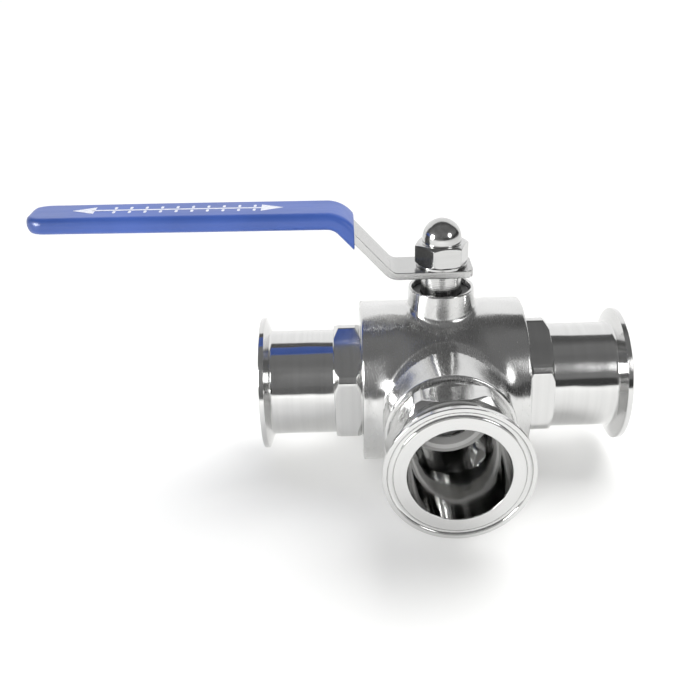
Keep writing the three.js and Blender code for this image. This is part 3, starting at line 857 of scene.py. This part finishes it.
def ring_of(half_width, half_height, corner_radius, per_corner=8):
    """A rounded rectangle across the lever as (y, t)."""
    corner_radius = min(corner_radius, half_width, half_height)
    out = []
    for k, (sy, st) in enumerate(((1, 1), (-1, 1), (-1, -1), (1, -1))):
        cy, ct = sy * (half_width - corner_radius), st * (half_height - corner_radius)
        out += arc(cy, ct, corner_radius, 90 * k, 90 * k + 90, per_corner)
    return np.array(out)


def lever_grip():
    """The dipped sleeve: a rounded tip, an open end cut upright and the pocket that holds the bar."""
    half_w, half_t = GRIP_WIDTH / 2, GRIP_THICK / 2
    tip, mouth = s_at(GRIP_TIP), s_at(GRIP_END)
    edge = 3.2
    bend = [s for s in distance_along if mouth + 2 < s < s_at(-62)]
    stations = []
    nose = 9.0
    for a in np.linspace(8, 90, 12):
        c, s = math.cos(math.radians(a)), math.sin(math.radians(a))
        back = nose * (1 - c)
        dip = min(1.0, back / edge)
        lift = math.sqrt(max(1 - (1 - dip) ** 2, 0))
        thick = 0.8 + (half_t - 1.0) * lift
        stations.append((tip - nose + nose * c, half_w - nose * (1 - s), thick, 3.1, None))
    straight_from = tip - nose
    for s in np.linspace(straight_from - 8, s_at(-64), 8):
        share = (straight_from - s) / 60
        stations.append((s, half_w, half_t - 0.2 * max(1 - share, 0), edge, None))
    for s in sorted(bend, reverse=True):
        stations.append((s, half_w, half_t, edge, None))
    lip = 0.7
    stations.append((mouth, half_w, half_t, edge, GRIP_END - lip))
    inner_w, inner_t = BAR_WIDTH / 2 + 0.2, BAR_THICK / 2 + 0.2
    for a in np.linspace(20, 90, 5):
        inset = lip * (1 - math.cos(math.radians(a)))
        out = GRIP_END - lip + lip * math.sin(math.radians(a))
        stations.append((mouth, half_w - inset, half_t - inset, 3.0, out))
    stations.append((mouth, inner_w + 0.3, inner_t + 0.3, 0.8, GRIP_END))
    stations.append((mouth, inner_w, inner_t, 0.5, GRIP_END - 0.3))
    for s in sorted(bend):
        stations.append((s, inner_w, inner_t, 0.5, None))
    stations.append((s_at(BAR_TIP) + 1.0, inner_w, inner_t, 0.5, None))
    rings = []
    for s, w, t, r, cut_at in stations:
        ring = ring_of(w, t, r)
        rings.append(on_path(np.full(len(ring), s), ring[:, 0], ring[:, 1], cut_at))
    count = len(rings[0])
    faces = []
    for j in range(len(rings) - 1):
        for i in range(count):
            k = (i + 1) % count
            faces.append([j * count + i, j * count + k, (j + 1) * count + k, (j + 1) * count + i])
    points = np.concatenate([*rings, [rings[0].mean(0)], [rings[-1].mean(0)]])
    for j, centre in ((0, len(points) - 2), (len(rings) - 1, len(points) - 1)):
        for i in range(count):
            face = [j * count + i, j * count + (i + 1) % count, centre]
            faces.append(face if j else face[::-1])
    return points, faces


points, faces = lever_grip()
if volume(points, faces) < 0:
    faces = [f[::-1] for f in faces]
piece("lever_sleeve_fine", points, faces, "ball_and_lever", blue_vinyl, ["lever_sleeve"], "blue_vinyl")


# ------------------------------------------------------------------ printed mark
def bar_shape(x0, y0, x1, y1, width):
    """A straight stroke with round ends."""
    turn = math.degrees(math.atan2(y1 - y0, x1 - x0))
    far = arc(x1, y1, width / 2, turn - 90, turn + 90, 6)
    return far + arc(x0, y0, width / 2, turn + 90, turn + 270, 6)


def printed(name, outlines):
    """Flat ink shapes on top of the grip."""
    points, faces = [], []
    low, high = GRIP_THICK / 2 - 0.25, GRIP_THICK / 2 + 0.03
    for outline in outlines:
        count = len(outline)
        first = sum(len(p) for p in points)
        s = [s_at(x) for x, _ in outline]
        y = [v for _, v in outline]
        points += [on_path(s, y, np.full(count, low)), on_path(s, y, np.full(count, high))]
        faces.append([first + i for i in range(count)][::-1])
        faces.append([first + count + i for i in range(count)])
        for i in range(count):
            k = (i + 1) % count
            faces.append([first + i, first + k, first + count + k, first + count + i])
    points = np.concatenate(points)
    if volume(points, faces) < 0:
        faces = [f[::-1] for f in faces]
    made = bpy.data.meshes.new(name)
    made.from_pydata(placed(points).tolist(), [], faces)
    made.materials.append(white_print)
    ink = bpy.data.objects.new(name, made)
    bpy.context.scene.collection.objects.link(ink)
    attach(ink, "ball_and_lever")


marks = [
    bar_shape(-158, 0, -82, 0, 1.4),
    [(-167, 0), (-157, 4.6), (-157, -4.6)],
    [(-72, 0), (-82, 4.6), (-82, -4.6)],
]
marks += [bar_shape(x, side * 2.0, x, side * 3.8, 1.3)
          for x in range(-148, -84, 7) for side in (-1, 1)]
printed("flow_direction_mark", marks)

# ------------------------------------------------------------------ carried-over CAD nodes
for names, material in (
    (("left_body_seal", "right_body_seal", "branch_body_seal", "stem_seal_ring"), dark_rubber),
    (("thrust_washer", "lower_packing_ring", "middle_packing_ring", "upper_packing_ring"), plain_white),
    (("gland_ring",), plain_steel),
    # The gland nut gets the near-black steel: painted shade for the recess round the stem.
    (("gland_nut",), painted_shade_steel),
):
    for name in names:
        node = frame["nodes"][name]
        node.data.materials.clear()
        node.data.materials.append(material)

# ------------------------------------------------------------------ stage, light and camera
floor_nodes = Surface("pale_floor")
floor_mesh = bpy.data.meshes.new("floor")
SIDE = 6.0
corners = [(-SIDE, -SIDE, 0), (SIDE, -SIDE, 0), (SIDE, SIDE, 0), (-SIDE, SIDE, 0)]
floor_mesh.from_pydata(corners, [], [(0, 1, 2, 3)])
floor = bpy.data.objects.new("floor", floor_mesh)
bpy.context.scene.collection.objects.link(floor)
paper = floor_nodes.noise(floor_nodes.place(), 40.0, 3.0)
floor_nodes.set(
    Base_Color=floor_nodes.mix(paper, (0.78, 0.78, 0.772), (0.80, 0.80, 0.792)),
    Roughness=0.9,
    Specular_IOR_Level=0.1,
    Emission_Color=(1.0, 1.0, 0.99, 1.0),
    Emission_Strength=0.25,
)
floor_mesh.materials.append(floor_nodes.material)

world = bpy.data.worlds.new("studio")
bpy.context.scene.world = world
world.use_nodes = True
w = Nodes(world.node_tree)
w.tree.nodes.clear()
way = w.add("TexCoord").outputs["Generated"]
split = w.add("SeparateXYZ", way)
x, y, z = split.outputs
# A white sweep stands behind the valve, and a dim grey room is in front of it and above.
behind = w.between(w.math("SUBTRACT", w.math("MULTIPLY", y, 1.55), z), -0.02, 0.02)
wide = w.between(w.math("SUBTRACT", w.math("MULTIPLY", y, 1.6), w.math("ABSOLUTE", x)), -0.05, 0.05)
behind = w.math("MULTIPLY", behind, wide)
below = w.between(z, -0.01, 0.0, 1.0, 0.0)
room = w.math("ADD", w.between(z, 0.0, 0.3, 0.16, 0.21), w.between(z, 0.45, 0.85, 0.0, -0.02))
room = w.math("MULTIPLY", room, w.between(y, 0.05, 0.3, 1.0, 0.55))
room = w.math("MULTIPLY", room, w.between(w.noise(way, 2.2, 2.0), 0.3, 0.7, 0.8, 1.2))
# Low on the right it is nearly dark.
dark = w.math("MULTIPLY", w.between(z, 0.24, 0.30, 1.0, 0.0), w.between(x, -0.05, 0.12))
room = w.math("MULTIPLY", room, w.math("SUBTRACT", 1.0, w.math("MULTIPLY", dark, 0.75)))
sweep = w.between(z, 0.0, 0.85, 1.15, 1.08)
light = w.math("ADD", w.math("MULTIPLY", sweep, behind),
               w.math("MULTIPLY", room, w.math("SUBTRACT", 1.0, behind)))
# It is white below the horizon, and wherever the camera sees past the floor.
light = w.math("ADD", below, w.math("MULTIPLY", light, w.math("SUBTRACT", 1.0, below)))
seen = w.add("LightPath").outputs["Is Camera Ray"]
light = w.math("ADD", w.math("MULTIPLY", seen, 1.05),
               w.math("MULTIPLY", light, w.math("SUBTRACT", 1.0, seen)))
shine = w.add("Background")
w.tree.links.new(light, shine.inputs["Strength"])
shine.inputs["Color"].default_value = (1, 1, 1, 1)
w.tree.links.new(shine.outputs[0], w.add("OutputWorld").inputs[0])


def posed(turn, spot):
    """A place and turn as one matrix."""
    return Matrix([[*row, at] for row, at in zip(turn, spot)] + [[0, 0, 0, 1]])


def aimed(azimuth, elevation, away):
    """A light's place and turn, so that it points at the middle of the nut's dome. Azimuth is from
    the front, towards +X."""
    a, e = math.radians(azimuth), math.radians(elevation)
    out = np.array([math.sin(a) * math.cos(e), -math.cos(a) * math.cos(e), math.sin(e)])
    side = np.cross((0, 0, 1), out)
    side /= np.linalg.norm(side)
    turn = np.stack([side, np.cross(out, side), out], 1)
    return posed(turn, placed((0, 0, DOME_CENTRE)) + out * away)


def lit(name, kind, energy, azimuth, elevation, away, **settings):
    """A light that points at the nut's dome and is hidden from the camera."""
    data = bpy.data.lights.new(name, kind)
    data.energy = energy
    for key, value in settings.items():
        setattr(data, key, value)
    made = bpy.data.objects.new(name, data)
    bpy.context.scene.collection.objects.link(made)
    made.matrix_world = aimed(azimuth, elevation, away)
    made.visible_camera = False
    return made


# Two small lamps that show only in reflections.
for name, watts, azimuth, elevation in (
    ("front_left_lamp", 1.5, -64, 11),
    ("front_right_lamp", 0.30, 45, 24),
):
    lamp = lit(name, "AREA", watts, azimuth, elevation, 0.45, shape="DISK", size=0.17)
    lamp.visible_diffuse = False

# Two broad lights that show in no reflection.
lit("back_right_light", "SUN", 2.5, 138, 52, 1.0, angle=math.radians(50)).visible_glossy = False
lit("front_fill", "AREA", 3.7, -8, 22, 0.9, shape="DISK", size=0.4).visible_glossy = False

camera_data = bpy.data.cameras.new("camera")
camera_data.lens = 47.687
camera_data.sensor_width = 36
camera_data.clip_start = 0.01
camera_data.clip_end = 50
camera = bpy.data.objects.new("camera", camera_data)
bpy.context.scene.collection.objects.link(camera)
# The camera's own axes, then its place: in front of the branch and above it.
right = np.array([0.999578, -0.012332, -0.026295])
up = np.array([0.029038, 0.440974, 0.897050])
back = -np.array([-0.000533, 0.897435, -0.441146])
spot = placed((-43.507, -405.098, 215.721))
camera.matrix_world = posed(np.stack([right, up, back], 1), spot)
bpy.context.scene.camera = camera
bpy.context.scene.view_settings.view_transform = "Standard"
